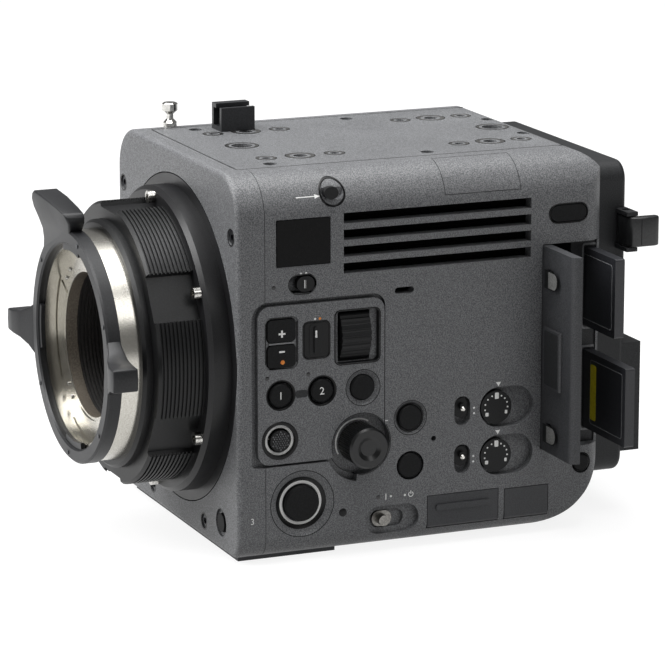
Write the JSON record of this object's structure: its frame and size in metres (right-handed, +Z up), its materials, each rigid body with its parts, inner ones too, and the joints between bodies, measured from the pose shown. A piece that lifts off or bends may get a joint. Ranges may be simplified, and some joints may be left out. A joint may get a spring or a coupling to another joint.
{
  "type": "cinema camera",
  "caption": "Boxy digital cinema camera body with a breech-lock lens adaptor, side controls, vents, an open media bay with cards, top threads and a battery plate.",
  "frame": {"origin": "mouth of the main tripod hole, on the underside of the base, below the optical axis", "axes": "+Z up, -Y along the optical axis towards the lens, +X towards the operator's control side"},
  "size_m": [0.1545, 0.2223, 0.1525],
  "materials": {
    "body_paint": "speckled satin paint",
    "plate_paint": "speckled satin paint",
    "cover_plastic": "matt",
    "jack_rubber": "matt",
    "rear_plastic": "fine matt",
    "battery_plastic": "fine matt",
    "base_paint": "satin",
    "mount_black": "satin black",
    "adaptor_black": "black anodised, satin",
    "seat_nickel": "turned and polished",
    "ring_black": "black anodised, satin",
    "baffle_black": "flock-matt black",
    "screw_steel": "turned",
    "screw_black": "black oxide",
    "hook_chrome": "polished",
    "clamp_black": "satin black",
    "badge_gloss": "gloss",
    "button_rubber": "fine matt",
    "stick_rubber": "dimpled",
    "gimbal_steel": "turned",
    "switch_plastic": "matt",
    "power_metal": "turned",
    "wheel_plastic": "matt",
    "dial_black": "black anodised",
    "level_black": "matt",
    "card_plastic": "fine matt",
    "bay_plastic": "matt",
    "pin_steel": "ground",
    "lever_plastic": "matt",
    "contact_gold": "plated",
    "connector_nickel": "plated",
    "sensor_glass": "coated glass over silicon",
    "filter_black": "matt",
    "chassis_metal": "milled",
    "sink_metal": "dark anodised",
    "board_resin": "solder resist",
    "fan_plastic": "matt"
  },
  "bodies": {
    "camera_body": {"front_panel": "body_paint", "control_side_panel": "body_paint", "assistant_side_panel": "body_paint", "top_plate": "body_paint", "contact_cover": "body_paint", "control_plate": "plate_paint", "rear_housing": "rear_plastic", "battery_plate": "battery_plastic", "base_plate": "base_paint", "mount_disc": "mount_black", "base_ring": "mount_black", "adaptor_body": "adaptor_black", "lens_seat": "seat_nickel", "light_baffle": "baffle_black", "adaptor_screws": "screw_steel", "body_screws": "screw_black", "tape_hook": "hook_chrome", "cable_clamp": "clamp_black", "badge_plate": "badge_gloss", "card_reader": "bay_plastic", "door_pin": "pin_steel", "battery_contacts": "contact_gold", "video_connectors": "connector_nickel", "image_sensor": "sensor_glass", "nd_filter": "filter_black", "chassis_frame": "chassis_metal", "heat_sink": "sink_metal", "main_board": "board_resin", "control_board": "board_resin"},
    "record_button": {"record_button": "button_rubber"},
    "assign_button_1": {"assign_button_1": "button_rubber"},
    "assign_button_2": {"assign_button_2": "button_rubber"},
    "display_button": {"display_button": "button_rubber"},
    "menu_button": {"menu_button": "button_rubber"},
    "back_button": {"back_button": "button_rubber"},
    "slot_button": {"slot_button": "button_rubber"},
    "clips_button": {"clips_button": "button_rubber"},
    "nd_plus_button": {"nd_plus_button": "button_rubber"},
    "nd_minus_button": {"nd_minus_button": "button_rubber"},
    "assign_button_3": {"assign_button_3": "button_rubber"},
    "selector_gimbal": {"selector_gimbal": "gimbal_steel"},
    "selector_stick": {"selector_stick": "stick_rubber"},
    "lock_switch": {"lock_switch": "switch_plastic"},
    "focus_switch": {"focus_switch": "switch_plastic"},
    "nd_switch": {"nd_switch": "switch_plastic"},
    "power_switch": {"power_switch": "power_metal"},
    "audio_switch_1": {"audio_switch_1": "switch_plastic"},
    "audio_switch_2": {"audio_switch_2": "switch_plastic"},
    "nd_wheel": {"nd_wheel": "wheel_plastic"},
    "menu_dial": {"menu_dial": "dial_black"},
    "audio_dial_1": {"audio_dial_1": "level_black"},
    "audio_dial_2": {"audio_dial_2": "level_black"},
    "cooling_fan": {"cooling_fan": "fan_plastic"},
    "lock_ring": {"lock_ring": "ring_black"},
    "media_door": {"media_door": "body_paint"},
    "card_cover": {"card_cover": "cover_plastic"},
    "jack_cover": {"jack_cover": "jack_rubber"},
    "battery_lever": {"battery_lever": "lever_plastic"},
    "memory_card_a": {"memory_card_a": "card_plastic"},
    "memory_card_b": {"memory_card_b": "card_plastic"}
  },
  "joints": [
    {"name": "record_press", "type": "slide", "parent": "camera_body", "child": "record_button", "axis": [-1, 0, 0], "range_m": [0, 0.0008], "stiffness_N_per_m": 500},
    {"name": "assign_1_press", "type": "slide", "parent": "camera_body", "child": "assign_button_1", "axis": [-1, 0, 0], "range_m": [0, 0.0008], "stiffness_N_per_m": 500},
    {"name": "assign_2_press", "type": "slide", "parent": "camera_body", "child": "assign_button_2", "axis": [-1, 0, 0], "range_m": [0, 0.0008], "stiffness_N_per_m": 500},
    {"name": "display_press", "type": "slide", "parent": "camera_body", "child": "display_button", "axis": [-1, 0, 0], "range_m": [0, 0.0008], "stiffness_N_per_m": 500},
    {"name": "menu_press", "type": "slide", "parent": "camera_body", "child": "menu_button", "axis": [-1, 0, 0], "range_m": [0, 0.0008], "stiffness_N_per_m": 500},
    {"name": "back_press", "type": "slide", "parent": "camera_body", "child": "back_button", "axis": [-1, 0, 0], "range_m": [0, 0.0008], "stiffness_N_per_m": 500},
    {"name": "slot_press", "type": "slide", "parent": "camera_body", "child": "slot_button", "axis": [-1, 0, 0], "range_m": [0, 0.0008], "stiffness_N_per_m": 500},
    {"name": "clips_press", "type": "slide", "parent": "camera_body", "child": "clips_button", "axis": [-1, 0, 0], "range_m": [0, 0.0008], "stiffness_N_per_m": 500},
    {"name": "nd_plus_press", "type": "slide", "parent": "camera_body", "child": "nd_plus_button", "axis": [-1, 0, 0], "range_m": [0, 0.0008], "stiffness_N_per_m": 500},
    {"name": "nd_minus_press", "type": "slide", "parent": "camera_body", "child": "nd_minus_button", "axis": [-1, 0, 0], "range_m": [0, 0.0008], "stiffness_N_per_m": 500},
    {"name": "assign_3_press", "type": "slide", "parent": "camera_body", "child": "assign_button_3", "axis": [0, 1, 0], "range_m": [0, 0.0008], "stiffness_N_per_m": 500},
    {"name": "selector_up_down", "type": "hinge", "parent": "camera_body", "child": "selector_gimbal", "pos_m": [0.0583, -0.0618, 0.046], "axis": [0, 1, 0], "range_deg": [-5, 5], "stiffness_Nm_per_rad": 0.05},
    {"name": "selector_left_right", "type": "hinge", "parent": "selector_gimbal", "child": "selector_stick", "pos_m": [0.0583, -0.0618, 0.046], "axis": [0, 0, 1], "range_deg": [-5, 5], "stiffness_Nm_per_rad": 0.05},
    {"name": "lock_switch_slide", "type": "slide", "parent": "camera_body", "child": "lock_switch", "axis": [0, 1, 0], "range_m": [0, 0.0024]},
    {"name": "focus_switch_slide", "type": "slide", "parent": "camera_body", "child": "focus_switch", "axis": [0, 1, 0], "range_m": [-0.0024, 0]},
    {"name": "nd_switch_slide", "type": "slide", "parent": "camera_body", "child": "nd_switch", "axis": [0, 1, 0], "range_m": [0, 0.0018]},
    {"name": "power_switch_slide", "type": "slide", "parent": "camera_body", "child": "power_switch", "axis": [0, 1, 0], "range_m": [0, 0.0036]},
    {"name": "audio_switch_1_slide", "type": "slide", "parent": "camera_body", "child": "audio_switch_1", "axis": [0, 0, 1], "range_m": [-0.0018, 0]},
    {"name": "audio_switch_2_slide", "type": "slide", "parent": "camera_body", "child": "audio_switch_2", "axis": [0, 0, 1], "range_m": [-0.0018, 0]},
    {"name": "nd_wheel_spin", "type": "hinge", "parent": "camera_body", "child": "nd_wheel", "pos_m": [0.0519, -0.0322, 0.0819], "axis": [0, 1, 0], "continuous": true},
    {"name": "menu_dial_spin", "type": "hinge", "parent": "camera_body", "child": "menu_dial", "pos_m": [0.06, -0.03, 0.0416], "axis": [1, 0, 0], "continuous": true},
    {"name": "audio_dial_1_turn", "type": "hinge", "parent": "camera_body", "child": "audio_dial_1", "pos_m": [0.06, 0.024, 0.05], "axis": [1, 0, 0], "range_deg": [-140, 140]},
    {"name": "audio_dial_2_turn", "type": "hinge", "parent": "camera_body", "child": "audio_dial_2", "pos_m": [0.06, 0.024, 0.0318], "axis": [1, 0, 0], "range_deg": [-140, 140]},
    {"name": "fan_spin", "type": "hinge", "parent": "camera_body", "child": "cooling_fan", "pos_m": [0.05, -0.017, 0.1162], "axis": [1, 0, 0], "continuous": true},
    {"name": "lock_ring_turn", "type": "hinge", "parent": "camera_body", "child": "lock_ring", "pos_m": [0, -0.117, 0.0724], "axis": [0, 1, 0], "range_deg": [-35, 0]},
    {"name": "door_swing", "type": "hinge", "parent": "camera_body", "child": "media_door", "pos_m": [0.0609, 0.04385, 0.07], "axis": [0, 0, 1], "range_deg": [0, 90]},
    {"name": "card_cover_swing", "type": "hinge", "parent": "camera_body", "child": "card_cover", "pos_m": [0.0614, 0.01, 0.00795], "axis": [0, 1, 0], "range_deg": [0, 90]},
    {"name": "jack_cover_swing", "type": "hinge", "parent": "camera_body", "child": "jack_cover", "pos_m": [0.0614, 0.036, 0.00795], "axis": [0, 1, 0], "range_deg": [0, 90]},
    {"name": "battery_lever_swing", "type": "hinge", "parent": "camera_body", "child": "battery_lever", "pos_m": [0.0536, 0.0805, 0.1087], "axis": [0, 0, 1], "range_deg": [0, 10], "stiffness_Nm_per_rad": 0.4},
    {"name": "memory_card_a_slide", "type": "slide", "parent": "camera_body", "child": "memory_card_a", "axis": [1, 0, 0], "range_m": [-0.0257, 0]},
    {"name": "memory_card_b_slide", "type": "slide", "parent": "camera_body", "child": "memory_card_b", "axis": [1, 0, 0], "range_m": [-0.0352, 0]}
  ],
  "couplings": [
    {"joint": "memory_card_a_slide", "follows": "door_swing", "m_per_rad": -0.016297},
    {"joint": "memory_card_b_slide", "follows": "door_swing", "m_per_rad": -0.022345}
  ]
}
